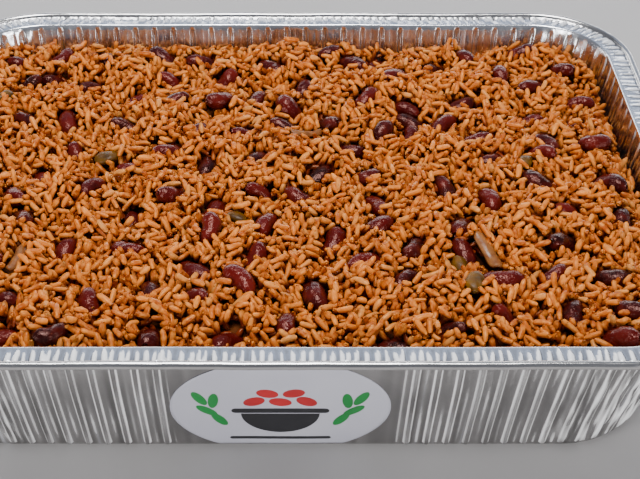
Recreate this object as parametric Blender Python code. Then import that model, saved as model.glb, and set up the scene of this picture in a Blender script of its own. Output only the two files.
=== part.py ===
"""A catering tray of rice and beans: a half-size deep foil tray, its oval label and the heap of food.

Frame: metres, +Z up, origin at the centre of the tray's underside. +X runs along the long side and
-Y points to the front, the side that has the plain panel and the label.
"""

import math

import bmesh
import bpy
from mathutils import Matrix, Vector, geometry, noise

MM = 0.001

# ---- driving dimensions of the tray
TRAY_LENGTH = 323.8 * MM
TRAY_WIDTH = 263.5 * MM
LIP_HEIGHT = 64.0 * MM  # the inner edge of the flange
FLANGE = 11.6 * MM  # from the lip to the outside of the rolled bead
FLANGE_DIP = 0.4 * MM  # how far the flange falls from the lip to the bead
BEAD_RADIUS = 1.6 * MM  # its middle is level with the lip
BEAD_STEPS = 7
LIP_CORNER = 34 * MM
BASE_CORNER = 35 * MM
END_SLANT = math.radians(10)  # the two short walls, from the vertical
SIDE_SLANT = math.radians(15)  # the two long walls
FOIL = 0.6 * MM
FLOOR_CHAMFER = 2.0 * MM

# ---- ribs pressed outwards in the walls
RIB_WIDTH = 2.8 * MM
RIB_CREST = 1.2 * MM
RIB_DEPTH = 1.2 * MM
FRONT_RIB_PITCH = 7.8 * MM
BACK_RIB_PITCH = 9.3 * MM
END_RIB_PITCH = 9.3 * MM
PLAIN_PANEL = 87 * MM  # the stretch of the front wall without ribs
PLAIN_BAND = 2.5 * MM  # the smooth band under the lip
RIB_TOP_DROP = 5.0 * MM  # where the ribs reach their full depth, below the lip
RIB_FOOT = 4.5 * MM  # where their full depth ends, above the base
SIDE_RIB_LEAN = 0.055  # how far the ribs stand straighter than an even spread at the base
END_RIB_LEAN = 0.12

# ---- the label
LABEL_WIDTH = 81 * MM
LABEL_HEIGHT = 61 * MM  # of the whole oval, whose foot is cut off straight
LABEL_SHIFT = -2.4 * MM  # from the middle of the tray, along X
LABEL_DROP = 38.8 * MM  # from the lip down the wall to the middle of the oval
LABEL_FOOT = 25.0 * MM  # from the middle of the oval to its straight foot
LABEL_THICKNESS = 0.3 * MM
LABEL_SIDES = 56

# ---- the heap of rice and beans
GAP = 0.3 * MM  # between pieces that touch
WALL_GAP = 0.8 * MM
HEAP_TOP = 58.0 * MM
HEAP_HIGHEST = 60.2 * MM
HEAP_EDGE = 52.0 * MM  # a height near where the heap meets the wall
SIDE_SHOULDER = 6.0 * MM  # how far the heap falls towards the long walls
END_SHOULDER = 8.0 * MM
SHOULDER_WIDTH = 16 * MM
DOME_RISE = 1.4 * MM
LUMPS = ((30 * MM, 1.4 * MM), (11 * MM, 1.1 * MM))  # spacing and height
HEAP_STATIONS = (32, 24, 32, 24)  # along the front, right, back and left
HEAP_FACET = 8.0 * MM  # spacing of the points on its surface

LIP_HALF = Vector((TRAY_LENGTH / 2 - FLANGE, TRAY_WIDTH / 2 - FLANGE))
SLANT = Vector((math.tan(END_SLANT), math.tan(SIDE_SLANT)))
FRONT, RIGHT, BACK, LEFT = range(4)
RIB_PITCHES = {FRONT: FRONT_RIB_PITCH, RIGHT: END_RIB_PITCH, BACK: BACK_RIB_PITCH, LEFT: END_RIB_PITCH}

FOIL_LOOK = dict(color=(0.66, 0.67, 0.69), roughness=0.28, metallic=1.0)
LABEL_LOOK = dict(color=(0.62, 0.64, 0.68), roughness=0.35, metallic=0.0)
FOOD_LOOK = dict(color=(0.40, 0.17, 0.055), roughness=0.5, metallic=0.0)


class Outline:
    """A rounded rectangle at one height. A station on it is (side, share), where share runs from
    -1 to 1 along that side, from the middle of one corner to the middle of the next."""

    def __init__(self, half, corner, height, depth=0.0):
        self.half = half
        self.corner = corner
        self.height = height
        self.depth = depth  # 0 at the lip, 1 at the base

    def side_reach(self, side):
        """Half of a side's length, with half of the corner at its end."""
        half_run = self.half.x if side in (FRONT, BACK) else self.half.y
        return half_run - self.corner + self.corner * math.pi / 4

    def point(self, side, share, outwards=0.0):
        long_side = side in (FRONT, BACK)
        half_run, half_across = self.half if long_side else reversed(self.half)
        run = half_run - self.corner
        lean = self.depth * (SIDE_RIB_LEAN if long_side else END_RIB_LEAN)
        along = abs(share) * (1 + lean * (1 - share**4)) * self.side_reach(side)
        turn = max(0.0, along - run) / self.corner
        radius = self.corner + outwards
        sideways = min(along, run) + radius * math.sin(turn)
        out = half_across - self.corner + radius * math.cos(turn)
        spot = Matrix.Rotation(side * math.pi / 2, 2) @ Vector((math.copysign(sideways, share), -out))
        return Vector((*spot, self.height))


def wall_outline(height, outside=False, inset=0.0):
    """The wall's inner or outer face at a height, or a line inside it."""
    drop = LIP_HEIGHT - height
    depth = drop / LIP_HEIGHT
    offset = (FOIL if outside else 0.0) - inset
    corner = LIP_CORNER + (BASE_CORNER - LIP_CORNER) * depth + offset
    half = LIP_HALF - SLANT * drop + Vector((offset, offset))
    return Outline(half, corner, height, depth)


def rim_outline(offset, height):
    return Outline(LIP_HALF + Vector((offset, offset)), LIP_CORNER + offset, height)


def rib_places():
    """(side, share, the rib's half width as a share) of each rib, all the way round."""
    lip = rim_outline(0.0, LIP_HEIGHT)
    places = []
    for side, pitch in RIB_PITCHES.items():
        reach = lip.side_reach(side)
        count = round(2 * reach / pitch)
        for i in range(count):
            share = (2 * i + 1) / count - 1
            if side == FRONT and abs(share) * reach < PLAIN_PANEL / 2:
                continue
            places.append((side, share, RIB_WIDTH / 2 / reach))
    return places


def smooth_ring(bm, outline, places):
    """One vertex for each rib."""
    return [[bm.verts.new(outline.point(side, share))] for side, share, _ in places]


def ribbed_ring(bm, outline, places):
    """Four vertices for each rib: its two edges, and its crest between them."""
    crest_share = RIB_CREST / RIB_WIDTH
    profile = ((-1, 0.0), (-crest_share, RIB_DEPTH), (crest_share, RIB_DEPTH), (1, 0.0))
    return [
        [bm.verts.new(outline.point(side, share + place * half, depth)) for place, depth in profile]
        for side, share, half in places
    ]


def join_rings(bm, lower, upper):
    """Faces between two rings. Seen from outside the solid, the rings run anticlockwise."""
    for i, (low, high) in enumerate(zip(lower, upper)):
        next_low, next_high = lower[(i + 1) % len(lower)], upper[(i + 1) % len(upper)]
        bm.faces.new((low[-1], next_low[0], next_high[0], high[-1]))
        if len(low) == len(high):
            for j in range(len(low) - 1):
                bm.faces.new((low[j], low[j + 1], high[j + 1], high[j]))
        elif len(low) == 1:
            for j in range(len(high) - 1):
                bm.faces.new((low[0], high[j + 1], high[j]))
        else:
            for j in range(len(low) - 1):
                bm.faces.new((low[j], low[j + 1], high[0]))


def cap_ring(bm, ring):
    bm.faces.new([vert for group in ring for vert in group])


def add_object(name, bm, look):
    bmesh.ops.triangulate(bm, faces=bm.faces)
    bmesh.ops.recalc_face_normals(bm, faces=bm.faces)
    mesh = bpy.data.meshes.new(name)
    bm.to_mesh(mesh)
    bm.free()
    material = bpy.data.materials.new(name)
    material.use_nodes = True
    shader = material.node_tree.nodes["Principled BSDF"]
    shader.inputs["Base Color"].default_value = (*look["color"], 1.0)
    shader.inputs["Roughness"].default_value = look["roughness"]
    shader.inputs["Metallic"].default_value = look["metallic"]
    mesh.materials.append(material)
    obj = bpy.data.objects.new(name, mesh)
    bpy.context.scene.collection.objects.link(obj)
    return obj


def bead_rings():
    """The outlines of the rolled bead, from the flange over its top and back under the flange."""
    start = math.pi + math.asin(FLANGE_DIP / BEAD_RADIUS)
    end = -math.pi + math.asin((FLANGE_DIP + FOIL) / BEAD_RADIUS)
    outlines = []
    for step in range(BEAD_STEPS + 1):
        angle = start + (end - start) * step / BEAD_STEPS
        offset = FLANGE - BEAD_RADIUS + BEAD_RADIUS * math.cos(angle)
        outlines.append(rim_outline(offset, LIP_HEIGHT + BEAD_RADIUS * math.sin(angle)))
    return outlines


def make_tray():
    bm = bmesh.new()
    places = rib_places()
    flange_start = FOIL / 2

    def smooth(outline):
        return smooth_ring(bm, outline, places)

    def ribbed(height, outside):
        return ribbed_ring(bm, wall_outline(height, outside), places)

    rings = [
        smooth(wall_outline(FOIL, inset=FLOOR_CHAMFER)),
        smooth(wall_outline(FOIL + FLOOR_CHAMFER)),
        ribbed(RIB_FOOT, outside=False),
        ribbed(LIP_HEIGHT - RIB_TOP_DROP, outside=False),
        smooth(wall_outline(LIP_HEIGHT - PLAIN_BAND)),
        smooth(rim_outline(flange_start, LIP_HEIGHT)),
    ]
    rings += [smooth(outline) for outline in bead_rings()]
    rings += [
        smooth(rim_outline(FOIL + flange_start, LIP_HEIGHT - FOIL - FLANGE_DIP / 2)),
        smooth(wall_outline(LIP_HEIGHT - PLAIN_BAND, outside=True)),
        ribbed(LIP_HEIGHT - RIB_TOP_DROP, outside=True),
        ribbed(RIB_FOOT, outside=True),
        smooth(wall_outline(FLOOR_CHAMFER, outside=True)),
        smooth(wall_outline(0.0, outside=True, inset=FLOOR_CHAMFER)),
    ]
    for lower, upper in zip(rings, rings[1:]):
        join_rings(bm, lower, upper)
    cap_ring(bm, rings[0])
    cap_ring(bm, rings[-1])
    return add_object("foil_tray", bm, FOIL_LOOK)


def label_outline():
    """The oval's points as (along X, up the wall) from its middle, with its foot cut off straight."""
    foot_angle = math.asin(2 * LABEL_FOOT / LABEL_HEIGHT)
    points = []
    for i in range(LABEL_SIDES + 1):
        angle = -foot_angle + (math.pi + 2 * foot_angle) * i / LABEL_SIDES
        points.append((LABEL_WIDTH / 2 * math.cos(angle), LABEL_HEIGHT / 2 * math.sin(angle)))
    return points


def make_label():
    bm = bmesh.new()
    up_wall = Vector((0, -math.sin(SIDE_SLANT), math.cos(SIDE_SLANT)))
    outwards = Vector((0, -math.cos(SIDE_SLANT), -math.sin(SIDE_SLANT)))
    wall_top = Vector((LABEL_SHIFT, -LIP_HALF.y - FOIL, LIP_HEIGHT))
    middle = wall_top - up_wall * LABEL_DROP
    rings = []
    for lift in (GAP, GAP + LABEL_THICKNESS):
        face = middle + outwards * lift
        ring = [[bm.verts.new(face + Vector((x, 0, 0)) + up_wall * up)] for x, up in label_outline()]
        rings.append(ring)
    join_rings(bm, *rings)
    for ring in rings:
        cap_ring(bm, ring)
    return add_object("label", bm, LABEL_LOOK)


def heap_height(x, y):
    """The heap's surface: a low dome with rounded shoulders and lumps."""
    edge = wall_outline(HEAP_EDGE).half
    height = HEAP_TOP + DOME_RISE * (1 - (x / edge.x) ** 2) * (1 - (y / edge.y) ** 2)
    for inset, fall in ((edge.x - abs(x), END_SHOULDER), (edge.y - abs(y), SIDE_SHOULDER)):
        height -= fall * max(0.0, 1 - inset / SHOULDER_WIDTH) ** 2
    for spacing, rise in LUMPS:
        height += rise * noise.noise(Vector((x / spacing, y / spacing, rise / MM)))
    return min(height, HEAP_HIGHEST)


def heap_stations():
    stations = []
    for side, count in enumerate(HEAP_STATIONS):
        stations += [(side, 2 * i / count - 1) for i in range(count)]
    return stations


def heap_edge():
    """Where the surface meets the wall. The wall slants, so the line follows it up and down."""
    nominal = wall_outline(HEAP_EDGE, inset=WALL_GAP)
    spots = []
    for side, share in heap_stations():
        spot = nominal.point(side, share)
        at_wall = wall_outline(heap_height(spot.x, spot.y), inset=WALL_GAP)
        spots.append(at_wall.point(side, share))
    return spots


def heap_grid():
    """Points on the surface in a triangular grid that stays half a facet clear of the edge."""
    outline = wall_outline(HEAP_EDGE, inset=WALL_GAP + HEAP_FACET / 2)
    straight = outline.half - Vector((outline.corner, outline.corner))
    row_step = HEAP_FACET * math.sqrt(3) / 2
    rows = math.ceil(outline.half.y / row_step)
    columns = math.ceil(outline.half.x / HEAP_FACET)
    spots = []
    for row in range(-rows, rows + 1):
        for column in range(-columns, columns + 1):
            x = (column + row % 2 / 2) * HEAP_FACET
            y = row * row_step
            past = Vector((max(0.0, abs(x) - straight.x), max(0.0, abs(y) - straight.y)))
            if past.length < outline.corner:
                spots.append(Vector((x, y, heap_height(x, y))))
    return spots


def make_heap():
    bm = bmesh.new()
    floor = wall_outline(FOIL + GAP, inset=FLOOR_CHAMFER + WALL_GAP)
    foot = wall_outline(FOIL + FLOOR_CHAMFER + GAP, inset=WALL_GAP)
    edge = heap_edge()
    rings = []
    for outline in (floor, foot):
        rings.append([[bm.verts.new(outline.point(*station))] for station in heap_stations()])
    top_spots = edge + heap_grid()
    top_verts = [bm.verts.new(spot) for spot in top_spots]
    rings.append([[vert] for vert in top_verts[: len(edge)]])
    for lower, upper in zip(rings, rings[1:]):
        join_rings(bm, lower, upper)
    cap_ring(bm, rings[0])
    flat_spots = [spot.xy for spot in top_spots]
    inside_the_edge = 1
    surface = geometry.delaunay_2d_cdt(flat_spots, [], [range(len(edge))], inside_the_edge, 1e-9)
    triangles, sources = surface[2], surface[3]
    for triangle in triangles:
        bm.faces.new([top_verts[sources[i][0]] for i in triangle])
    return add_object("rice_and_beans", bm, FOOD_LOOK)


def main():
    for obj in list(bpy.data.objects):
        bpy.data.objects.remove(obj)
    make_tray()
    make_label()
    make_heap()


main()
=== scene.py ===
"""The looks of a foil catering tray of rice and beans: crimped foil, a label, and grains that have
settled on each other one by one.

Lengths are in millimetres while shapes are worked out, and in metres in the finished meshes.
"""

import math

import bpy
import numpy as np
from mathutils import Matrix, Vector


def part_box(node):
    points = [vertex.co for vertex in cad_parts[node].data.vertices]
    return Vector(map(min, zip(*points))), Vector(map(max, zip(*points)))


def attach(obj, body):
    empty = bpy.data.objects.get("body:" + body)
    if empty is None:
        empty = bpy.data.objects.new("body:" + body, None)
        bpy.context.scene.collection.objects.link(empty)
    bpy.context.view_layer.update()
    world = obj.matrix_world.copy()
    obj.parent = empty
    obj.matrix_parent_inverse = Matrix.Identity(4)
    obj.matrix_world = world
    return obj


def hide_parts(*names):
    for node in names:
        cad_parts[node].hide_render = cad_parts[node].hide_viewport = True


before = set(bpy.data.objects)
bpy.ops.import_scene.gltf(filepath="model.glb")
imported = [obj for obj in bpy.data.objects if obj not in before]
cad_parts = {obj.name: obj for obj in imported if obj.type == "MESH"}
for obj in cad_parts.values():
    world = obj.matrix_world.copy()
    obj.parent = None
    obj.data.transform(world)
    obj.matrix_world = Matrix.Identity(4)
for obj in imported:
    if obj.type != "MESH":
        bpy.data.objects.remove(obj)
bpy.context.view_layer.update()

MM = 0.001
random = np.random.default_rng(20)

# ---- the tray, from its box in the frame
tray_low, tray_high = (np.array(corner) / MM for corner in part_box("foil_tray"))
FLANGE = 11.6  # from the lip to the outside of the rolled bead
BEAD_RADIUS = 1.6  # its middle is level with the lip
FLANGE_DIP = 0.4
LIP_HEIGHT = tray_high[2] - BEAD_RADIUS
LIP_HALF = tray_high[:2] - FLANGE
LIP_CORNER = 34.0
BASE_CORNER = 35.0
SLANT = np.array([math.tan(math.radians(10)), math.tan(math.radians(15))])
FOIL = 0.6
BASE_ROUND = 2.4

RIB_HALF_WIDTH = 1.45
RIB_DEPTH = 1.2
RIB_PITCHES = (7.8, 9.3, 9.3, 9.3)  # along the front, right, back and left
# The painted highlight on each side of a rib is brightest this far from the rib's middle.
FLANK_MIDDLE = 1.15  # from a rib's middle to where its side is brightest
FLANK_WIDTH = 0.32
PLAIN_PANEL = 87.0
RIB_LEANS = (0.055, 0.12, 0.055, 0.12)
VALLEY_RIDGE = 0.22
WALL_DENTS = 0.35

# ---- the heap, from its box in the frame
heap_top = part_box("rice_and_beans")[1][2] / MM
SHOULDER_WIDTH = 16.0
SIDE_SHOULDER = 7.0
END_SHOULDER = 9.5
WALL_GAP = 0.7


# ---------------------------------------------------------------- smooth random fields

class Noise:
    """Smooth noise over the plane, from -1 to 1, with features about as wide as its spacing."""

    SIZE = 64

    def __init__(self, spacing):
        self.spacing = spacing
        self.values = random.uniform(-1, 1, (self.SIZE, self.SIZE))

    def __call__(self, x, y):
        u, v = np.asarray(x) / self.spacing, np.asarray(y) / self.spacing
        column, row = np.floor(u).astype(int), np.floor(v).astype(int)
        s, t = u - column, v - row
        s, t = s * s * (3 - 2 * s), t * t * (3 - 2 * t)
        left, right = column % self.SIZE, (column + 1) % self.SIZE
        low, high = row % self.SIZE, (row + 1) % self.SIZE
        near = self.values[low, left] * (1 - s) + self.values[low, right] * s
        far = self.values[high, left] * (1 - s) + self.values[high, right] * s
        return near * (1 - t) + far * t


def smoothstep(low, high, value):
    t = np.clip((np.asarray(value) - low) / (high - low), 0, 1)
    return t * t * (3 - 2 * t)


# ---------------------------------------------------------------- meshes and materials

def mesh_object(name, points, faces, attributes=None, smooth=True):
    """points in millimetres. faces is an array with three or four columns, or a list of such."""
    groups = [np.asarray(group) for group in (faces if isinstance(faces, list) else [faces])]
    mesh = bpy.data.meshes.new(name)
    sizes = np.concatenate([np.full(len(group), group.shape[1]) for group in groups])
    corners = np.concatenate([group.ravel() for group in groups])
    mesh.vertices.add(len(points))
    mesh.vertices.foreach_set("co", (np.asarray(points) * MM).astype(np.float32).ravel())
    mesh.loops.add(len(corners))
    mesh.loops.foreach_set("vertex_index", corners.astype(np.int32))
    mesh.polygons.add(len(sizes))
    mesh.polygons.foreach_set("loop_start", (np.cumsum(sizes) - sizes).astype(np.int32))
    mesh.polygons.foreach_set("use_smooth", np.full(len(sizes), smooth))
    for attribute, values in (attributes or {}).items():
        layer = mesh.attributes.new(attribute, "FLOAT", "POINT")
        layer.data.foreach_set("value", np.asarray(values, np.float32).ravel())
    mesh.update(calc_edges=True)
    obj = bpy.data.objects.new(name, mesh)
    bpy.context.scene.collection.objects.link(obj)
    return obj


def ring_faces(rings, around, closed=True):
    """Quads between rings of points that are stored one ring after another."""
    ring, step = np.meshgrid(np.arange(rings - 1), np.arange(around if closed else around - 1), indexing="ij")
    here = ring * around + step
    beside = ring * around + (step + 1) % around
    return np.stack([here, beside, beside + around, here + around], -1).reshape(-1, 4)


class Look:
    """A material's node tree, built by chaining calls."""

    def __init__(self, name, **sockets):
        self.material = bpy.data.materials.new(name)
        self.material.use_nodes = True
        self.tree = self.material.node_tree
        self.shader = self.tree.nodes["Principled BSDF"]
        for socket, value in sockets.items():
            self.shader.inputs[socket.replace("_", " ")].default_value = value

    def node(self, kind, **settings):
        node = self.tree.nodes.new(kind)
        for key, value in settings.items():
            setattr(node, key, value)
        return node

    def plug(self, source, target):
        self.tree.links.new(source, target)

    def noise(self, scale, detail=3.0, roughness=0.5):
        """Noise whose features are about 1 / scale metres wide."""
        node = self.node("ShaderNodeTexNoise")
        node.inputs["Scale"].default_value = scale
        node.inputs["Detail"].default_value = detail
        node.inputs["Roughness"].default_value = roughness
        self.plug(self.node("ShaderNodeTexCoord").outputs["Object"], node.inputs["Vector"])
        return node.outputs["Fac"]

    def attribute(self, name):
        return self.node("ShaderNodeAttribute", attribute_name=name).outputs["Fac"]

    def ramp(self, value, *stops):
        """A colour or grey for each (position, colour) stop."""
        node = self.node("ShaderNodeValToRGB")
        elements = node.color_ramp.elements
        while len(elements) < len(stops):
            elements.new(0.5)
        for element, (position, color) in zip(elements, stops):
            element.position = position
            grey = isinstance(color, (int, float))
            element.color = (color, color, color, 1) if grey else (*color, 1)
        self.plug(value, node.inputs["Fac"])
        return node.outputs["Color"]

    def mix(self, share, a, b, blend="MIX"):
        node = self.node("ShaderNodeMix", data_type="RGBA", blend_type=blend)
        colour_a, colour_b = [socket for socket in node.inputs if socket.type == "RGBA"]
        for socket, value in ((node.inputs[0], share), (colour_a, a), (colour_b, b)):
            if isinstance(value, bpy.types.NodeSocket):
                self.plug(value, socket)
            elif isinstance(value, (int, float)):
                socket.default_value = value
            else:
                socket.default_value = (*value, 1)
        return [socket for socket in node.outputs if socket.type == "RGBA"][0]

    def set(self, socket, value):
        self.plug(value, self.shader.inputs[socket])
        return self

    def bump(self, *layers):
        """Each layer is (height, distance in millimetres)."""
        normal = None
        for height, distance in layers:
            node = self.node("ShaderNodeBump")
            node.inputs["Distance"].default_value = distance * MM
            self.plug(height, node.inputs["Height"])
            if normal:
                self.plug(normal, node.inputs["Normal"])
            normal = node.outputs["Normal"]
        return self.set("Normal", normal)


def finish_piece(obj, look, replaces=None):
    obj.data.materials.append(look.material)
    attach(obj, "root")
    if replaces:
        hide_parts(replaces)
    return obj


# ---------------------------------------------------------------- the tray's outlines

def outline_points(half, corner, side, share, outwards=0.0, depth=0.0):
    """Points on a rounded rectangle. share runs from -1 to 1 along a side, from the middle of one
    corner to the middle of the next, and depth is 0 at the lip and 1 at the base."""
    half_run = np.where(side % 2 == 0, half[0], half[1])
    half_across = np.where(side % 2 == 0, half[1], half[0])
    lean = depth * np.take(RIB_LEANS, side)
    run = half_run - corner
    reach = run + corner * math.pi / 4
    along = np.abs(share) * (1 + lean * (1 - share**4)) * reach
    turn = np.maximum(0.0, along - run) / corner
    sideways = np.copysign(np.minimum(along, run) + (corner + outwards) * np.sin(turn), share)
    out = half_across - corner + (corner + outwards) * np.cos(turn)
    cos, sin = np.array([1, 0, -1, 0])[side], np.array([0, 1, 0, -1])[side]
    return np.stack([cos * sideways + sin * out, sin * sideways - cos * out], -1)


def wall_shape(height, offset=0.0):
    """Half size, corner radius and depth of the wall's inner face, moved out by offset."""
    drop = LIP_HEIGHT - height
    depth = drop / LIP_HEIGHT
    corner = LIP_CORNER + (BASE_CORNER - LIP_CORNER) * depth + offset
    return LIP_HALF - SLANT * drop + offset, corner, depth


def side_reach(side):
    return LIP_HALF[side % 2] - LIP_CORNER + LIP_CORNER * math.pi / 4


def inside_wall(x, y, height, margin):
    """Whether points are inside the wall's inner face, by at least margin."""
    drop = LIP_HEIGHT - height
    corner = LIP_CORNER - margin
    past_x = np.maximum(0, np.abs(x) - (LIP_HALF[0] - SLANT[0] * drop - margin - corner))
    past_y = np.maximum(0, np.abs(y) - (LIP_HALF[1] - SLANT[1] * drop - margin - corner))
    return past_x**2 + past_y**2 < corner**2


# ---------------------------------------------------------------- the foil tray

RIB_COLUMNS = (-1.95, -1.5, -1.2, -0.9, -0.6, -0.2, 0.2, 0.6, 0.9, 1.2, 1.5, 1.95)
PANEL_COLUMNS = 11
NO_RIB = 99.0  # stands for the distance to a rib where the wall is plain


def tray_columns():
    """side, share, distance to the nearest rib and to the nearest valley's middle, and distance
    along the lip, for each column of points that goes round the tray."""
    rows = []
    start = 0.0
    for side, pitch in enumerate(RIB_PITCHES):
        reach = side_reach(side)
        count = round(2 * reach / pitch)
        half_step = reach / count
        for i in range(count):
            rib = (2 * i + 1) * half_step - reach
            plain = side == 0 and abs(rib) < PLAIN_PANEL / 2
            if plain:
                offsets = np.arange(PANEL_COLUMNS) / PANEL_COLUMNS * 2 * half_step - half_step
            else:
                valley = np.array([0.0, 0.45, 0.95])
                offsets = np.concatenate([valley - half_step, RIB_COLUMNS, half_step - valley[:0:-1]])
            for offset in offsets:
                to_rib = NO_RIB if plain else offset
                to_valley = NO_RIB if plain else half_step - abs(offset)
                rows.append((side, (rib + offset) / reach, to_rib, to_valley, start + rib + offset + reach))
        start += 2 * reach
    return np.array(rows), start


class Crimps:
    """The flange's pinches: short folds across it at uneven spacings, a little askew, which are
    widest at the groove beside the bead and run out before the lip."""

    def __init__(self, length, corner_share):
        self.length = length
        places = []
        place = 0.0
        while place < length - 1.2:
            places.append(place)
            tight = corner_share(place)
            place += random.uniform(2.1, 4.4) * (1 - 0.2 * tight)
        self.places = np.array(places)
        count = len(places)
        self.widths = random.uniform(0.62, 1.0, count)
        self.rises = random.uniform(0.45, 0.85, count)
        self.leans = random.normal(0, 0.45, count)
        self.starts = random.uniform(0.6, 2.4, count)

    def __call__(self, along, offset):
        """Heights of the folds, at a distance of offset out from the lip."""
        share = (offset - self.starts) / (8.0 - self.starts)
        middle = self.places + self.leans * (share - 0.5)
        distance = (along[:, None] - middle + self.length / 2) % self.length - self.length / 2
        width = self.widths * (0.6 + 0.4 * np.clip(share, 0, 1))
        rise = self.rises * np.clip(share * 2.2, 0, 1)
        return (rise * np.exp(-((distance / width) ** 2))).sum(1)


def make_tray():
    columns, length = tray_columns()
    side = columns[:, 0].astype(int)
    share, rib_offset, valley_offset, along = columns[:, 1:].T
    around = len(columns)
    rib = 1 - smoothstep(0.45, RIB_HALF_WIDTH, np.abs(rib_offset))
    flank = np.exp(-(((np.abs(rib_offset) - FLANK_MIDDLE) / FLANK_WIDTH) ** 2))
    ridge = 1 - smoothstep(0.0, 1.0, np.abs(valley_offset))
    corner_share = smoothstep(0.60, 0.92, np.abs(share))
    order = np.argsort(along)
    pinches = Crimps(length, lambda place: np.interp(place, along[order], corner_share[order]))
    rib_number = np.round(along / 3.1)
    strength = random.uniform(0.55, 1.0, int(rib_number.max()) + 1)[rib_number.astype(int)]
    dents, small_dents, wander, crumple = Noise(34.0), Noise(9.0), Noise(21.0), Noise(1.4)
    rim_wave, bead_wave, streaks, highlight_wander = Noise(26.0), Noise(7.0), Noise(2.2), Noise(16.0)
    plain = (rib_offset == NO_RIB).astype(float)
    # For each ring: its points, its painted highlight (edge) and its tone.
    rings, painted_highlights, tones = [], [], []

    def wall_ring(height, offset, rib_share, inner=False):
        half, corner, depth = wall_shape(height, offset)
        flare = 1 + 0.5 * smoothstep(8.0, 4.0, height) * (1 - corner_share)
        shallow = 1 - corner_share * (0.35 + 0.35 * smoothstep(14, 2, height))
        ribs = rib_share * (RIB_DEPTH * rib * shallow * flare + VALLEY_RIDGE * ridge)
        fade = smoothstep(0, 10, height) * smoothstep(0, 8, LIP_HEIGHT - height)
        wave = (WALL_DENTS * dents(along, height) + 0.12 * small_dents(along, height)) * (1 - 0.8 * plain)
        wave = wave + 0.7 * corner_share * crumple(along + height * 0.12, height / 6)
        lean = fade * 0.25 * wander(along, height + 300) / side_reach(0)
        flat = outline_points(half, corner, side, share + lean, ribs + fade * wave, depth)
        rings.append(np.column_stack([flat, np.full(around, height)]))
        # Painted highlights and reflections where the foil would catch light: lines down the ribs' sides, the
        # valley ridges, the corner crumples and, faintly, the rib faces.
        bright = flank * strength * (1.0 + 0.25 * highlight_wander(along, height * 1.5))
        bright = bright + 0.55 * ridge * np.clip(0.5 + highlight_wander(along + 90, height), 0, 1)
        bright = bright + 1.0 * corner_share * np.clip(crumple(along + height * 0.12, height / 6), 0, 1)
        bright = bright + 0.22 * rib * np.clip(0.6 + highlight_wander(along + 40, height), 0, 1)
        painted_flute_glint = 0.0
        if inner:
            # Inside, the painted highlights are weaker, and a painted glint marks the top of each flute,
            # strongest on the side walls.
            bright = 0.15 * bright
            near_lip = np.clip(1.9 - abs(LIP_HEIGHT - height - 3.1), 0, 1)
            painted_flute_glint = np.where(side % 2, 0.9, 0.15) * rib * near_lip
        painted_highlights.append(np.clip(rib_share * bright + painted_flute_glint, 0, 1))
        # Painted shade: the outer wall's foil is darker than the inside and the flange, standing in for the
        # dark floor it mirrors, and it varies in random streaks that are weaker on the plain panel.
        streak = streaks(along + 500, height / 40)
        tones.append(0.86 + 0.1 * streak if inner else 0.5 + 0.5 * streak * (1 - 0.6 * plain))

    def rim_ring(offset, rise, crimp, wave=0.0, tone=0.95):
        flat = outline_points(LIP_HALF, LIP_CORNER, side, share, offset)
        fold = pinches(along, offset) * crimp * (1 + 0.35 * corner_share)
        lift = rise + fold + 0.18 * rim_wave(along, 0) + wave * bead_wave(along, 50)
        rings.append(np.column_stack([flat, LIP_HEIGHT + lift]))
        # Painted highlight on the crimp folds, half as strong away from the front.
        painted_highlights.append(smoothstep(0.12, 0.42, fold) * np.where(side, 0.5, 1.0))
        tones.append(np.full(around, tone))

    def wall(heights, offset):
        for height in heights:
            rib_share = float(smoothstep(1.6, 3.6, LIP_HEIGHT - height) * smoothstep(0.5, 4.0, height))
            wall_ring(height, offset, rib_share, inner=offset <= 0)

    def base(inner, levels):
        """The rounded edge between floor and wall, from the floor up."""
        level = FOIL if inner else 0.0
        offset = 0.0 if inner else FOIL
        for share_up in levels:
            angle = share_up * math.pi / 2
            inset = BASE_ROUND * (1 - math.sin(angle))
            wall_ring(level + BASE_ROUND * (1 - math.cos(angle)), offset - inset, 0.0)

    base(True, (0.0, 0.5, 1.0))
    wall((5.0, 42.0), -0.9)
    wall((50.0, 54.0, 57.0, 59.4, 61.2, 62.3), 0.0)
    rim_ring(0.05, -0.7, 0.0)
    rim_ring(0.25, -0.12, 0.0)
    for offset in (0.9, 1.9, 3.0, 4.4, 5.8, 7.0, 7.9):
        rim_ring(offset, -FLANGE_DIP * offset / 8, 1.0 if offset < 7.5 else 0.7)
    start = math.pi + math.asin(FLANGE_DIP / BEAD_RADIUS)
    end = -math.pi + math.asin((FLANGE_DIP + FOIL) / BEAD_RADIUS)
    # The bead's colour is a little darker than the flange's.
    for step in range(10):
        angle = start + (end - start) * step / 9
        offset = FLANGE - BEAD_RADIUS + BEAD_RADIUS * math.cos(angle)
        rim_ring(offset, BEAD_RADIUS * math.sin(angle) - 0.12, 0.0, 0.1, tone=0.78)
    for offset in (6.0, 1.6):
        rim_ring(offset, -FLANGE_DIP * offset / 8 - FOIL, 0.0)
    wall((62.4, 61.4, 60.2, 58.0, 54.0, 48.0, 41.0, 33.0, 25.0, 17.0, 11.0, 7.0, 4.8, 3.4), FOIL)
    outside = len(rings)
    base(False, (0.0, 0.35, 0.7, 1.0))
    for stack in (rings, painted_highlights, tones):
        stack[outside:] = stack[outside:][::-1]
    points = np.concatenate(rings + [[[0, 0, FOIL], [0, 0, 0]]])
    quads = ring_faces(len(rings), around)
    middle_inside, middle_outside = len(points) - 2, len(points) - 1
    step = np.arange(around)
    following = (step + 1) % around
    last = (len(rings) - 1) * around
    floor = np.column_stack([following, step, np.full(around, middle_inside)])
    underside = np.column_stack([last + step, last + following, np.full(around, middle_outside)])
    attributes = {"edge": np.concatenate(painted_highlights + [[0, 0]]), "tone": np.concatenate(tones + [[0.5, 0.5]])}
    tray = mesh_object("foil_tray_pressed", points, [quads, floor, underside], attributes)
    return finish_piece(tray, foil_look(), "foil_tray")


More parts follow.
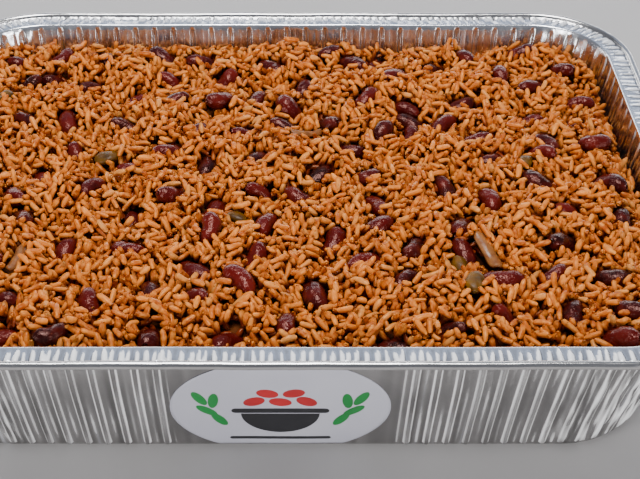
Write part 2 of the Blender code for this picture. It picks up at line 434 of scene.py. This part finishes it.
def foil_look():
    """Smooth bright metal with painted highlights, paler and hazier than the flats, where edge is high."""
    look = Look("pressed foil")
    edge = look.attribute("edge")
    # Painted shade: a low tone, on the outer wall, gives a dark grey foil.
    tones = ((0.1, (0.27, 0.265, 0.26)), (0.8, (0.56, 0.55, 0.545)), (0.95, (0.80, 0.82, 0.86)))
    flats = look.ramp(look.attribute("tone"), *tones)
    cloud = look.ramp(look.noise(45.0, detail=3.0), (0.3, 0.84), (0.7, 1.0))
    flats = look.mix(1.0, flats, cloud, "MULTIPLY")
    # Painted highlight: near white and barely metallic where edge is high.
    look.set("Base Color", look.mix(edge, flats, (0.98, 0.97, 0.97)))
    look.set("Metallic", look.ramp(edge, (0.1, 1.0), (0.75, 0.06)))
    look.set("Roughness", look.ramp(edge, (0.0, 0.22), (1.0, 0.40)))
    crinkle = look.noise(300.0, detail=3.0, roughness=0.55)
    return look.bump((look.noise(60.0, detail=2.0), 0.30), (crinkle, 0.022))


# ---------------------------------------------------------------- the label

LABEL_HALF_WIDTH = 40.5
LABEL_HALF_HEIGHT = 30.5
LABEL_DROP = 38.8  # from the lip down the wall to the middle of the oval
LABEL_FOOT = 25.0  # from the middle of the oval to its straight foot
LABEL_SHIFT = -2.4
LABEL_LIFT = 0.16  # over the wall
LABEL_THICKNESS = 0.15
WALL_SLANT = math.radians(15)


def on_front_wall(across, up, lift):
    """Points on the front wall's outer face, from the label's middle, lifted off the face."""
    drop = LABEL_DROP - up
    y = -(LIP_HALF[1] + FOIL) + drop * math.sin(WALL_SLANT) - lift * math.cos(WALL_SLANT)
    z = LIP_HEIGHT - drop * math.cos(WALL_SLANT) - lift * math.sin(WALL_SLANT)
    return np.stack([across + LABEL_SHIFT, y, z], -1)


def make_label():
    """A film in the shape of an oval with a straight foot, a little wavy, with a thin edge all round."""
    rows, across_count = 40, 61
    waves = Noise(17.0)
    foot_angle = math.asin(LABEL_FOOT / LABEL_HALF_HEIGHT)
    layers = []
    for lift in (LABEL_LIFT, LABEL_LIFT + LABEL_THICKNESS):
        for angle in np.linspace(-foot_angle, math.pi / 2 - 0.02, rows):
            share = np.linspace(-1, 1, across_count)
            across = share * LABEL_HALF_WIDTH * math.cos(angle)
            up = np.full(across_count, LABEL_HALF_HEIGHT * math.sin(angle))
            wave = 0.12 * waves(across + 200, up + 200)
            layers.append(on_front_wall(across, up, lift + wave))
    points = np.concatenate(layers)
    sheet = ring_faces(rows, across_count, closed=False)
    size = rows * across_count
    first_row = np.arange(across_count)
    last_row = first_row + (rows - 1) * across_count
    left = np.arange(rows) * across_count
    right = left + across_count - 1
    edge = np.concatenate([first_row, right[1:], last_row[::-1][1:], left[::-1][1:-1]])
    following = np.roll(edge, -1)
    rim = np.column_stack([edge, following, following + size, edge + size])
    label = mesh_object("label_film", points, [sheet[:, ::-1], sheet + size, rim])
    look = Look("label film", Specular_IOR_Level=0.5)
    paper = look.noise(30.0, detail=2.0)
    look.set("Base Color", look.ramp(paper, (0.35, (0.40, 0.395, 0.45)), (0.7, (0.44, 0.435, 0.485))))
    look.set("Roughness", look.ramp(look.noise(120.0), (0.3, 0.34), (0.7, 0.46)))
    look.bump((look.noise(800.0, detail=2.0), 0.02))
    finish_piece(label, look, "label")
    make_print(waves)


PRINT_LIFT = 0.07


def oval(across, up, half_width, half_height, turn=0.0, start=0.0, end=360.0):
    """An outline of points round part of an oval."""
    angle = np.radians(np.linspace(start, end, 25, endpoint=end - start < 360))
    u, v = half_width * np.cos(angle), half_height * np.sin(angle)
    cos, sin = math.cos(math.radians(turn)), math.sin(math.radians(turn))
    return np.column_stack([across + u * cos - v * sin, up + u * sin + v * cos])


def bar(across, up, half_width, half_height):
    """A bar with round ends."""
    return np.concatenate([
        oval(across + half_width - half_height, up, half_height, half_height, 0, -90, 90),
        oval(across - half_width + half_height, up, half_height, half_height, 0, 90, 270),
    ])


def print_solid(outline, waves):
    """A thin closed plate over the film with the given outline, which follows the film's waves."""
    following = np.roll(outline, -1, axis=0)
    pieces = np.ceil(np.hypot(*(following - outline).T) / 1.2).astype(int).clip(1)
    outline = np.concatenate([
        start + (end - start) * np.arange(count)[:, None] / count
        for start, end, count in zip(outline, following, pieces)
    ])
    middle = outline.mean(0)
    top_lift = LABEL_LIFT + LABEL_THICKNESS + PRINT_LIFT
    layers = []
    below = top_lift - PRINT_LIFT - 0.08
    shares = [(0.02, below), (1.0, below)]
    shares += [(share, top_lift) for share in (1.0, 0.85, 0.7, 0.55, 0.4, 0.25, 0.1, 0.02)]
    for share, lift in shares:
        flat = middle + (outline - middle) * share
        wave = 0.12 * waves(flat[:, 0] + 200, flat[:, 1] + 200)
        layers.append(on_front_wall(flat[:, 0], flat[:, 1], lift + wave))
    count = len(outline)
    ring = np.arange(count)
    sheet = ring_faces(len(layers), count)
    lids = [ring[::-1][None], (ring + count * (len(layers) - 1))[None]]
    return np.concatenate(layers), sheet, lids


def make_print(waves):
    """A bowl of beans between two sprigs, over a plain bar: simple shapes and no lettering."""
    leaves = [(22.5, -7.5, 58), (27.0, -1.5, 40), (24.5, 5.0, 96), (29.5, 6.5, 62)]
    fields = {
        "label_print_dark": ((0.010, 0.010, 0.012), [
            oval(0, -3.6, 14.5, 13.0, 0, 180, 360),
            bar(0, -1.6, 18.0, 1.5),
            bar(0, -20.6, 19.0, 0.9),
        ]),
        "label_print_red": ((0.33, 0.010, 0.012), [
            oval(-9.6, 4.6, 4.1, 2.7, 22),
            oval(0.0, 4.2, 4.2, 2.6, -12),
            oval(9.6, 4.6, 4.1, 2.7, -30),
            oval(-4.7, 9.8, 4.1, 2.6, -16),
            oval(4.9, 9.9, 4.1, 2.6, 14),
        ]),
        "label_print_green": ((0.006, 0.16, 0.030), [
            oval(sign * across, up, 4.8, 1.9, turn if sign > 0 else 180 - turn)
            for sign in (-1, 1) for across, up, turn in leaves
        ]),
    }
    for name, (color, outlines) in fields.items():
        points, sheets, lids = [], [], []
        for outline in outlines:
            offset = sum(map(len, points))
            solid, sheet, ends = print_solid(outline, waves)
            points.append(solid)
            sheets.append(sheet + offset)
            lids += [end + offset for end in ends]
        look = Look(name.replace("_", " "), Specular_IOR_Level=0.5)
        ink = look.noise(60.0, detail=2.0)
        shade = tuple(value * 1.25 for value in color)
        look.set("Base Color", look.ramp(ink, (0.35, color), (0.7, shade)))
        look.set("Roughness", look.ramp(look.noise(150.0), (0.3, 0.34), (0.7, 0.46)))
        piece = mesh_object(name, np.concatenate(points), sheets + lids, smooth=False)
        finish_piece(piece, look)


# ---------------------------------------------------------------- the heap's surface

HEAP_EDGE = LIP_HALF - SLANT * 12.0
DOME_RISE = 1.4
lumps = ((Noise(34.0), 1.5), (Noise(15.0), 3.0), (Noise(7.0), 1.9))


def heap_surface(x, y):
    """The height that the grains reach, on average: a low dome with lumps and round shoulders."""
    height = heap_top - 3.4 + DOME_RISE * (1 - (x / HEAP_EDGE[0]) ** 2) * (1 - (y / HEAP_EDGE[1]) ** 2)
    for inset, fall in ((HEAP_EDGE[0] - np.abs(x), END_SHOULDER), (HEAP_EDGE[1] - np.abs(y), SIDE_SHOULDER)):
        height = height - fall * np.maximum(0, 1 - inset / SHOULDER_WIDTH) ** 2
    for noise, rise in lumps:
        height = height + rise * noise(x, y)
    return height


FILL_DEPTH = 6.2  # of loose grains over the core


def make_core():
    """What lies under the loose grains: a solid with a rough top."""
    around, steps = 200, 44
    turn = np.arange(around) / around * 8
    side = (turn // 2).astype(int)
    share = turn % 2 - 1
    relief = Noise(3.0)
    rings = []
    for height, inset in ((1.0, 4.0), (4.0, 1.0), (30.0, 1.0)):
        half, corner = wall_shape(height, -inset)[:2]
        rings.append(np.column_stack([outline_points(half, corner, side, share), np.full(around, height)]))
    half, corner = wall_shape(46.0, -1.0)[:2]
    rim = outline_points(half, corner, side, share)
    for step in range(steps):
        flat = rim * (1 - step / steps)
        height = heap_surface(*flat.T) - FILL_DEPTH + 0.7 * relief(*flat.T)
        rings.append(np.column_stack([flat, height]))
    points = np.concatenate(rings + [[[0, 0, heap_surface(0, 0) - FILL_DEPTH], [0, 0, 1.0]]])
    step = np.arange(around)
    following = (step + 1) % around
    last = (len(rings) - 1) * around
    top = np.column_stack([last + step, last + following, np.full(around, len(points) - 2)])
    bottom = np.column_stack([following, step, np.full(around, len(points) - 1)])
    core = mesh_object("rice_core", points, [ring_faces(len(rings), around), top, bottom])
    look = Look("packed rice in painted shade", Roughness=0.8, Specular_IOR_Level=0.1)
    # Painted shade: the core is far darker than the grains, standing in for the shade deep among them.
    tone = look.noise(160.0, detail=4.0)
    look.set("Base Color", look.ramp(tone, (0.35, (0.03, 0.006, 0.001)), (0.7, (0.12, 0.030, 0.004))))
    look.bump((look.noise(260.0, detail=3.0), 1.2))
    finish_piece(core, look, "rice_and_beans")


# ---------------------------------------------------------------- how things settle

class Pile:
    """A height map of the heap, which grows as grains and beans come to rest on it."""

    STEP = 0.6
    ALONG = np.array([-0.88, -0.6, -0.3, 0.0, 0.3, 0.6, 0.88])
    TAPER = np.sqrt(1 - np.abs(ALONG) ** 2.6)
    ACROSS = ((0.0, 1.0), (0.65, 0.76), (-0.65, 0.76))
    LEFT, RIGHT = np.meshgrid([0, 1, 2], [4, 5, 6], indexing="ij")

    def __init__(self):
        self.reach = LIP_HALF + 2
        count = np.ceil(2 * self.reach / self.STEP).astype(int)
        self.x = -self.reach[0] + self.STEP * np.arange(count[0])
        self.y = -self.reach[1] + self.STEP * np.arange(count[1])
        self.surface = heap_surface(*np.meshgrid(self.x, self.y, indexing="ij"))
        self.height = self.surface - FILL_DEPTH
        self.taken = np.zeros(self.height.shape, bool)  # where a bean or vegetable shows

    def cell(self, x, y):
        column = ((x + self.reach[0]) / self.STEP + 0.5).astype(int)
        row = ((y + self.reach[1]) / self.STEP + 0.5).astype(int)
        return column, row

    def lowest_spot(self, tries):
        """Of a few random places inside the tray, the one that is furthest under the surface."""
        spots = random.uniform(-1, 1, (tries, 2)) * (HEAP_EDGE - 1.5)
        cells = self.cell(*spots.T)
        return spots[np.argmax(self.surface[cells] - self.height[cells])]

    def rest(self, x, y, yaw, half_length, radius, tilt=None):
        """The height of the middle and the slope of a grain that comes to rest on the pile.
        With a tilt, the grain keeps that slope and is pushed into what lies under it."""
        cos, sin = math.cos(yaw), math.sin(yaw)
        along = self.ALONG * half_length * (1 if tilt is None else math.cos(math.atan(tilt)))
        need = None
        for side, rise in self.ACROSS:
            cells = self.cell(x + along * cos - side * radius * sin, y + along * sin + side * radius * cos)
            level = self.height[cells] + rise * radius * self.TAPER
            need = level if need is None else np.maximum(need, level)
        if tilt is not None:
            rise = half_length * math.sin(math.atan(tilt))
            return (need - tilt * along).max() - rise * random.uniform(0.5, 1.1), tilt
        slopes = (need[self.RIGHT] - need[self.LEFT]) / (along[self.RIGHT] - along[self.LEFT])
        middles = need[self.LEFT] - slopes * along[self.LEFT]
        best = np.argmax(middles)
        return max(middles.flat[best], need[3]), slopes.flat[best]

    def cover(self, x, y, yaw, half_length, radius):
        """The share of a grain's middle line that lies over beans and vegetables."""
        along = self.ALONG * half_length
        return self.taken[self.cell(x + along * math.cos(yaw), y + along * math.sin(yaw))].mean()

    def add(self, x, y, z, yaw, slope, half_length, radius, width=None, shows=False):
        """Raises the height map over a grain, or over a bean that is wider than it is high."""
        width = width or radius
        span = half_length + width
        low = self.cell(np.array(x - span), np.array(y - span))
        high = self.cell(np.array(x + span), np.array(y + span))
        window = np.s_[low[0] : high[0] + 1, low[1] : high[1] + 1]
        dx = self.x[window[0], None] - x
        dy = self.y[None, window[1]] - y
        flat = math.cos(math.atan(slope))
        along = dx * math.cos(yaw) + dy * math.sin(yaw)
        core_half = max(half_length - width, 0.0) * flat
        nearest = np.clip(along, -core_half, core_half)
        across = -dx * math.sin(yaw) + dy * math.cos(yaw)
        share = ((along - nearest) ** 2 + across**2) / width**2
        top = z + slope * nearest + radius * np.sqrt(np.maximum(0, 1 - share))
        inside = share < 1
        patch = self.height[window]
        patch[inside] = np.maximum(patch, top)[inside]
        if shows:
            self.taken[window] |= share < 0.8


SOFTNESS = 0.80  # grains press into each other by the rest of their radius
STEEPEST = 0.9
GRAIN_RADIUS = 1.25
GRAIN_LENGTHS = (4.0, 5.6, 8.8)
TILTED_SHARE = 0.64  # of the grains stick up at an angle
TILTS = (32, 80)
MOST_MISSES = 500  # in a row, after which no more grains fit
SHEAF_SHARE = 0.55  # of the grains lie along their neighbours
BEAN_LEVEL = 4.2  # how far under the surface the rice is when the beans go in
BEAN_COUNT = 115
BEAN_ATTEMPTS = 8000
BEAN_SPACING = 15.5
BEAN_HALF = np.array([7.9, 4.8, 4.2])  # half length, width and thickness

sheaves = (Noise(15.0), Noise(45.0))


def lay_rice(pile, grains, count, level, tries):
    """Lets grains settle to level millimetres under the surface, until count lie or no more fit.
    A grain is x, y, z, yaw, slope, half length, radius."""
    laid = missed = 0
    while laid < count and missed < MOST_MISSES:
        half_length = random.triangular(*GRAIN_LENGTHS) / 2
        radius = GRAIN_RADIUS * random.uniform(0.90, 1.10)
        x, y = pile.lowest_spot(tries)
        yaw = random.uniform(0, 2 * math.pi)
        if random.random() < SHEAF_SHARE:
            turn = sheaves[0](x, y) * 4 + sheaves[1](x, y) * 3
            yaw = float(turn) + random.normal(0, 0.35) + math.pi * random.integers(2)
        tilt = None
        if random.random() < TILTED_SHARE:
            tilt = math.tan(math.radians(random.uniform(*TILTS)))
        z, slope = pile.rest(x, y, yaw, half_length, radius * SOFTNESS, tilt)
        flat = math.cos(math.atan(slope))
        target = pile.surface[pile.cell(np.array(x), np.array(y))] - level
        reach = half_length * flat * np.array([-1, 1])
        ends = (x + reach * math.cos(yaw), y + reach * math.sin(yaw), z + reach * slope)
        top = z + max(radius * 0.6, abs(reach[1] * slope) * 0.8)
        missed += 1
        if (tilt is None and abs(slope) > STEEPEST) or top > target + random.exponential(0.8):
            continue
        if not inside_wall(*ends, radius * 0.8 + WALL_GAP).all():
            continue
        if pile.cover(x, y, yaw, half_length * flat, radius) > random.choice([0.05, 0.3], p=[0.85, 0.15]):
            continue
        grains.append((x, y, z, yaw, slope, half_length, radius))
        pile.add(x, y, z, yaw, slope, half_length, radius)
        laid += 1
        missed = 0


def lay_beans(pile):
    """Presses beans into the rice, apart from each other but for a few that lie in pairs."""
    beans = []
    for _ in range(BEAN_ATTEMPTS):
        if len(beans) == BEAN_COUNT:
            break
        x, y = random.uniform(-1, 1, 2) * (HEAP_EDGE - 5)
        apart = BEAN_SPACING * (0.55 if random.random() < 0.03 else random.uniform(1, 1.4))
        if any(math.hypot(x - bean[0], y - bean[1]) < apart for bean in beans):
            continue
        yaw = random.uniform(0, 2 * math.pi)
        slope = random.normal(0, 0.42)
        size = BEAN_HALF * random.uniform(0.84, 1.10)
        top = heap_surface(x, y) + random.uniform(0.7, 3.4)
        z = top - size[2] - 0.3 * abs(slope) * size[0]
        reach = size[0] * np.array([-1, 1])
        ends = (x + reach * math.cos(yaw), y + reach * math.sin(yaw), z + reach * slope)
        if not inside_wall(*ends, 4.0).all():
            continue
        if pile.cover(x, y, yaw, size[0], size[1]) > 0:
            continue
        beans.append((x, y, z, yaw, slope, size))
        pile.add(x, y, z, yaw, slope, size[0], size[2], width=size[1], shows=True)
    return beans


def burial(pile, grains):
    """How deep the least covered part of each grain lies under the finished pile."""
    x, y, z, yaw, slope, half_length, radius = np.array(grains).T
    flat = np.cos(np.arctan(slope))
    least = np.full(len(grains), np.inf)
    for share in (-0.9, -0.45, 0.0, 0.45, 0.9):
        reach = share * half_length * flat
        cells = pile.cell(x + reach * np.cos(yaw), y + reach * np.sin(yaw))
        top = z + reach * slope + 0.6 * radius
        least = np.minimum(least, pile.height[cells] - top)
    return least


# ---------------------------------------------------------------- the shapes of grains and beans

def spindle(rings, sides, fullness):
    """A round body along X from -1 to 1 with the poles closed: points, quads and triangles."""
    turn = np.arange(sides) / sides * 2 * math.pi
    points = [
        np.column_stack([np.full(sides, t), radius * np.cos(turn), radius * np.sin(turn)])
        for t, radius in ((t, (1 - abs(t) ** fullness) ** 0.5) for t in rings)
    ]
    points = np.concatenate(points + [[[-1, 0, 0], [1, 0, 0]]])
    quads = ring_faces(len(rings), sides)[:, ::-1]
    step = np.arange(sides)
    following = (step + 1) % sides
    last = (len(rings) - 1) * sides
    near = np.column_stack([step, np.full(sides, len(points) - 2), following])
    far = np.column_stack([last + following, np.full(sides, len(points) - 1), last + step])
    return points, quads, np.concatenate([near, far])


def frames(yaw, slope, roll):
    """Unit vectors along, across and up, one row for each grain."""
    flat = np.arctan(slope)
    zero = np.zeros(len(yaw))
    along = np.column_stack([np.cos(flat) * np.cos(yaw), np.cos(flat) * np.sin(yaw), np.sin(flat)])
    across = np.column_stack([-np.sin(yaw), np.cos(yaw), zero])
    up = np.cross(along, across)
    cos, sin = np.cos(roll)[:, None], np.sin(roll)[:, None]
    return along, across * cos + up * sin, up * cos - across * sin


def placed(place, axes, x, y, z):
    """The points of each grain, at its place and along its own axes."""
    along, across, up = axes
    flat = place[:, None] + x[..., None] * along[:, None] + y[..., None] * across[:, None]
    return flat + z[..., None] * up[:, None]


def copies(template_faces, count, size):
    """The faces of count copies of a template that has size points."""
    offsets = np.arange(count)[:, None, None] * size
    return [(faces[None] + offsets).reshape(-1, faces.shape[1]) for faces in template_faces]


def make_rice(name, grains, rings, sides, look):
    """One mesh of many grains. Each grain is a little bent, lumpy and flattened."""
    count = len(grains)
    template, quads, triangles = spindle(rings, sides, 3.8)
    t = template[:, 0]
    place, (yaw, slope, half_length, radius) = grains[:, :3], grains[:, 3:].T
    slope = slope + random.normal(0, 0.12, count)
    axes = frames(yaw, slope, random.uniform(0, 2 * math.pi, count))
    bend = random.uniform(0.0, 0.7, count)[:, None] * (t**2 - 0.4)
    phase = random.uniform(0, 2 * math.pi, (count, 1))
    lumpy = 1 + 0.07 * np.sin(2.6 * t + phase) + 0.04 * np.sin(6 * t + 2 * phase)
    ridged = 1 + 0.05 * np.sin(3 * np.arctan2(template[:, 2], template[:, 1]) + phase)
    x = half_length[:, None] * t
    y = radius[:, None] * lumpy * ridged * template[:, 1] + bend
    z = radius[:, None] * lumpy * ridged * template[:, 2] * random.uniform(0.82, 1.0, (count, 1))
    points = placed(place, axes, x, y, z).reshape(-1, 3)
    tint = np.repeat(random.uniform(0, 1, count), len(template))
    # depth is for painted shade: how far a point lies under the heap's average surface.
    depth = (heap_surface(points[:, 0], points[:, 1]) + 0.6 - points[:, 2]) / 5
    attributes = {"tint": tint, "depth": np.clip(depth, 0, 1)}
    piece = mesh_object(name, points, copies([quads, triangles], count, len(template)), attributes)
    return finish_piece(piece, look)


def rice_look():
    look = Look("cooked rice", Subsurface_Weight=0.08, Subsurface_Scale=0.0015, Specular_IOR_Level=0.42)
    look.shader.inputs["Subsurface Radius"].default_value = (1.0, 0.35, 0.12)
    look.shader.inputs["Specular Tint"].default_value = (1.0, 0.70, 0.42, 1)
    shades = ((0.0, (0.34, 0.060, 0.003)), (0.45, (0.49, 0.110, 0.006)), (0.8, (0.66, 0.185, 0.016)),
              (1.0, (0.52, 0.200, 0.045)))
    tone = look.ramp(look.attribute("tint"), *shades)
    mottle = look.ramp(look.noise(520.0, detail=3.0), (0.42, 0.0), (0.72, 0.8))
    tone = look.mix(mottle, tone, (0.82, 0.29, 0.045))
    specks = look.ramp(look.noise(1000.0, detail=2.0), (0.66, 0.0), (0.74, 0.6))
    tone = look.mix(specks, tone, (0.28, 0.03, 0.002))
    # Painted shade: grains are darker the deeper they lie under the heap's surface.
    painted_depth_shade = look.ramp(look.attribute("depth"), (0.06, 0.0), (0.50, 1.0))
    tone = look.mix(painted_depth_shade, tone, (0.17, 0.018, 0.001))
    look.set("Base Color", tone)
    look.set("Roughness", look.ramp(look.noise(350.0), (0.35, 0.30), (0.7, 0.52)))
    return look.bump((look.noise(700.0, detail=3.0), 0.12))


def make_beans(beans):
    rings = np.sin(np.linspace(-1.38, 1.38, 16))
    template, quads, triangles = spindle(rings, 16, 2.0)
    t, side, high = template.T
    count = len(beans)
    place = np.array([bean[:3] for bean in beans])
    yaw, slope = np.array([bean[3:5] for bean in beans]).T
    size = np.array([bean[5] for bean in beans])
    axes = frames(yaw, slope, random.normal(0, 0.4, count))
    round_width = np.sqrt(np.maximum(1e-6, 1 - t**2))
    fat = np.where(np.abs(t) < 0.999, (1 - np.abs(t) ** 2.6) ** 0.5 / round_width, 1.0)
    bend = random.uniform(0.18, 0.36, count)[:, None] * (t**2 - 0.35)
    notch = 1 - 0.14 * np.exp(-((t / 0.25) ** 2)) * np.clip(side, 0, 1)
    phase = random.uniform(0, 2 * math.pi, (count, 1))
    angle = np.arctan2(high, side)
    swell = 1 + 0.06 * np.sin(2 * t + phase) + 0.025 * np.sin(5 * angle + 4 * t + phase)
    swell = swell + 0.018 * np.sin(9 * t + 3 * angle + 2 * phase)
    x = size[:, :1] * t
    y = size[:, 1:2] * (side * fat * notch * swell * 0.92 + bend)
    z = size[:, 2:3] * high * fat * swell
    points = placed(place, axes, x, y, z)
    tint = np.repeat(random.uniform(0, 1, count), len(template))
    faces = copies([quads, triangles], count, len(template))
    piece = mesh_object("kidney_beans", points.reshape(-1, 3), faces, {"tint": tint})
    look = Look("kidney beans", Specular_IOR_Level=0.36)
    look.shader.inputs["Specular Tint"].default_value = (1.0, 0.52, 0.44, 1)
    shades = ((0.0, (0.012, 0.002, 0.002)), (0.5, (0.045, 0.002, 0.002)), (1.0, (0.085, 0.004, 0.003)))
    tone = look.ramp(look.attribute("tint"), *shades)
    cloud = look.ramp(look.noise(170.0, detail=4.0), (0.42, 0.0), (0.75, 0.8))
    tone = look.mix(cloud, tone, (0.12, 0.010, 0.006))
    dots = look.ramp(look.noise(1200.0, detail=2.0), (0.68, 0.0), (0.76, 0.4))
    tone = look.mix(dots, tone, (0.34, 0.10, 0.05))
    look.set("Base Color", tone)
    look.set("Roughness", look.ramp(look.noise(300.0, detail=3.0), (0.3, 0.10), (0.7, 0.27)))
    look.bump((look.noise(260.0, detail=4.0, roughness=0.6), 0.80), (look.noise(600.0, detail=2.0), 0.20))
    return finish_piece(piece, look)


ONION_STRIPS = (  # x, y, heading in degrees, length, width
    (77, -57, 112, 18, 5.6),
    (8, 32, 20, 15, 4.2),
    (-104, -62, 75, 15, 4.5),
)
ONION_RISE = 0.4  # over the heap's average surface
PEPPER_RISE = -0.2
PEPPER_BITS = (  # x, y, heading in degrees, length
    (70, -79, 80, 11.5),
    (66, -62, 100, 9.0),
    (-76, 9, 10, 11.0),
    (100, 4, 60, 9.0),
    (-20, -34, 150, 9.0),
    (-128, 60, 40, 9.0),
)


def make_onion(pile):
    """Strips of soft onion, arched across and bent along, at the level of the heap's surface."""
    rings, around = 24, 12
    turn = np.arange(around) / around * 2 * math.pi
    t = np.linspace(-0.97, 0.97, rings)
    stacks = []
    for x, y, heading, length, width in ONION_STRIPS:
        angle = math.radians(heading) + 0.3 * t
        step = length / rings
        line_x = x + np.cumsum(np.cos(angle)) * step - np.cos(angle).sum() * step / 2
        line_y = y + np.cumsum(np.sin(angle)) * step - np.sin(angle).sum() * step / 2
        level = heap_surface(line_x, line_y)
        level = np.convolve(np.pad(level, 4, "edge"), np.ones(9) / 9, "valid") + ONION_RISE
        half_width = width / 2 * (1 - np.abs(t) ** 9) ** 0.5
        side = np.cos(turn)[None] * half_width[:, None]
        arch = 0.9 * (1 - np.cos(turn)[None] ** 2) * 0.6 + 0.25 * np.sin(turn)[None] * 2.2
        ripple = 0.15 * np.sin(7 * t + x)[:, None] * np.cos(turn)[None]
        points = np.stack([
            line_x[:, None] - np.sin(angle)[:, None] * side,
            line_y[:, None] + np.cos(angle)[:, None] * side,
            level[:, None] + arch + ripple - 0.5 * (np.cos(turn)[None] ** 2),
        ], -1)
        stacks.append(points.reshape(-1, 3))
        pile.add(x, y, level.mean(), math.radians(heading), 0.0, length / 2, 1.0, width=width / 2, shows=True)
    size = rings * around
    quads = ring_faces(rings, around)
    caps = [np.arange(around)[::-1][None], (np.arange(around) + size - around)[None]]
    faces = copies([quads] + caps, len(stacks), size)
    look = Look("cooked onion", Subsurface_Weight=0.25, Subsurface_Scale=0.002, Specular_IOR_Level=0.4)
    look.shader.inputs["Subsurface Radius"].default_value = (1.0, 0.5, 0.25)
    veins = ((0.35, (0.17, 0.052, 0.009)), (0.7, (0.28, 0.105, 0.024)))
    look.set("Base Color", look.ramp(look.noise(420.0, detail=3.0), *veins))
    look.set("Roughness", look.ramp(look.noise(200.0), (0.3, 0.3), (0.7, 0.5)))
    look.bump((look.noise(500.0, detail=2.0), 0.15))
    finish_piece(mesh_object("onion_strips", np.concatenate(stacks), faces), look)


def make_peppers(pile):
    """Soft bits of green pepper, lumpy and sunk into the rice."""
    rings = np.sin(np.linspace(-1.40, 1.40, 15))
    template, quads, triangles = spindle(rings, 16, 2.2)
    t, side, high = template.T
    turn = np.arctan2(high, side)
    stacks = []
    for x, y, heading, length in PEPPER_BITS:
        lumpy = 1 + 0.10 * np.sin(3 * turn + 2.2 * t + x) + 0.07 * np.sin(5 * t + 2 * turn + y)
        along = t * length / 2
        across = side * lumpy * length * 0.33
        cos, sin = math.cos(math.radians(heading)), math.sin(math.radians(heading))
        level = float(heap_surface(x, y)) + PEPPER_RISE
        height = level + high * lumpy * length * 0.22 + 0.06 * along
        yaw, reach, thick = math.radians(heading), length / 2, length * 0.22
        pile.add(x, y, level, yaw, 0.0, reach, thick, width=length * 0.33, shows=True)
        flat_x = x + along * cos - across * sin
        flat_y = y + along * sin + across * cos
        stacks.append(np.column_stack([flat_x, flat_y, height]))
    faces = copies([quads, triangles], len(stacks), len(template))
    look = Look("cooked pepper", Subsurface_Weight=0.15, Subsurface_Scale=0.002, Specular_IOR_Level=0.22)
    skin = ((0.35, (0.055, 0.022, 0.001)), (0.7, (0.16, 0.066, 0.002)))
    look.set("Base Color", look.ramp(look.noise(230.0, detail=4.0), *skin))
    look.set("Roughness", look.ramp(look.noise(200.0), (0.3, 0.28), (0.7, 0.5)))
    look.bump((look.noise(400.0, detail=3.0), 0.35))
    finish_piece(mesh_object("pepper_bits", np.concatenate(stacks), faces), look)


BURIED_GRAINS, LOOSE_GRAINS = 5000, 11200
GRAIN_RINGS = (-0.955, -0.72, 0.0, 0.72, 0.955)
BURIED_RINGS = (-0.75, 0.0, 0.75)
HIDDEN = 2.2  # a grain this far under the pile's surface can't be seen
COVERED = 0.7
RICE_KINDS = (  # name, and the range of lengths
    ("rice_broken", 0, 5.3),
    ("rice_short", 5.3, 5.95),
    ("rice_medium", 5.95, 6.7),
    ("rice_long", 6.7, 99),
)


def make_food():
    make_core()
    pile = Pile()
    grains = []
    lay_rice(pile, grains, BURIED_GRAINS, BEAN_LEVEL, 4)
    make_onion(pile)
    make_peppers(pile)
    beans = lay_beans(pile)
    lay_rice(pile, grains, LOOSE_GRAINS, 0.0, 6)
    under = burial(pile, grains)
    grains = np.array(grains)
    lengths = 2 * grains[:, 5]
    shows = under < COVERED
    look = rice_look()
    make_rice("rice_buried", grains[(under >= COVERED) & (under < HIDDEN)], BURIED_RINGS, 5, look)
    for name, low, high in RICE_KINDS:
        chosen = grains[shows & (lengths >= low) & (lengths < high)]
        make_rice(name, chosen, GRAIN_RINGS, 6, look)
    make_beans(beans)


def main():
    make_tray()
    make_label()
    make_food()


def make_stage():
    size = 3000.0
    corners = [(-size, -size, 0), (size, -size, 0), (size, size, 0), (-size, size, 0)]
    floor = mesh_object("floor", corners, np.array([[0, 1, 2, 3]]), smooth=False)
    look = Look("pale floor", Roughness=0.6)
    look.set("Base Color", look.ramp(look.noise(8.0), (0.3, (0.43, 0.415, 0.41)), (0.7, (0.46, 0.445, 0.44))))
    floor.data.materials.append(look.material)


def add_area_light(name, place, target, size, power, color=(1, 1, 1)):
    light = bpy.data.lights.new(name, "AREA")
    light.shape = "RECTANGLE"
    light.size, light.size_y = size
    light.energy = power
    light.color = color
    obj = bpy.data.objects.new(name, light)
    obj.location = place
    direction = Vector(target) - Vector(place)
    obj.rotation_euler = direction.to_track_quat("-Z", "Y").to_euler()
    bpy.context.scene.collection.objects.link(obj)


def make_lights():
    world = bpy.data.worlds.new("studio")
    bpy.context.scene.world = world
    world.use_nodes = True
    background = world.node_tree.nodes["Background"]
    background.inputs["Color"].default_value = (0.76, 0.80, 0.92, 1)
    background.inputs["Strength"].default_value = 0.27
    blue = (0.62, 0.74, 1.0)
    add_area_light("overhead softbox", (-0.05, -0.02, 1.1), (0, 0, 0), (0.50, 0.42), 15)
    add_area_light("high back panel", (0, 1.25, 0.88), (0, 0, 0.05), (1.7, 0.85), 2.3, blue)
    add_area_light("low back strip", (0, 1.35, 0.36), (0, 0, 0.05), (2.4, 0.30), 12)
    add_area_light("front left panel", (-1.0, -0.95, 0.30), (0, 0, 0.04), (0.6, 0.5), 14.5)
    add_area_light("front right panel", (1.0, -0.95, 0.30), (0, 0, 0.04), (0.6, 0.5), 14.5)


def make_camera():
    camera = bpy.data.cameras.new("camera")
    camera.lens = 77.3
    camera.shift_x = 0.0517
    obj = bpy.data.objects.new("camera", camera)
    obj.location = (0, -0.4821, 0.3721)
    obj.rotation_euler = (math.radians(90 - 35.97), 0, 0)
    bpy.context.scene.collection.objects.link(obj)
    bpy.context.scene.camera = obj


main()
make_stage()
make_lights()
make_camera()
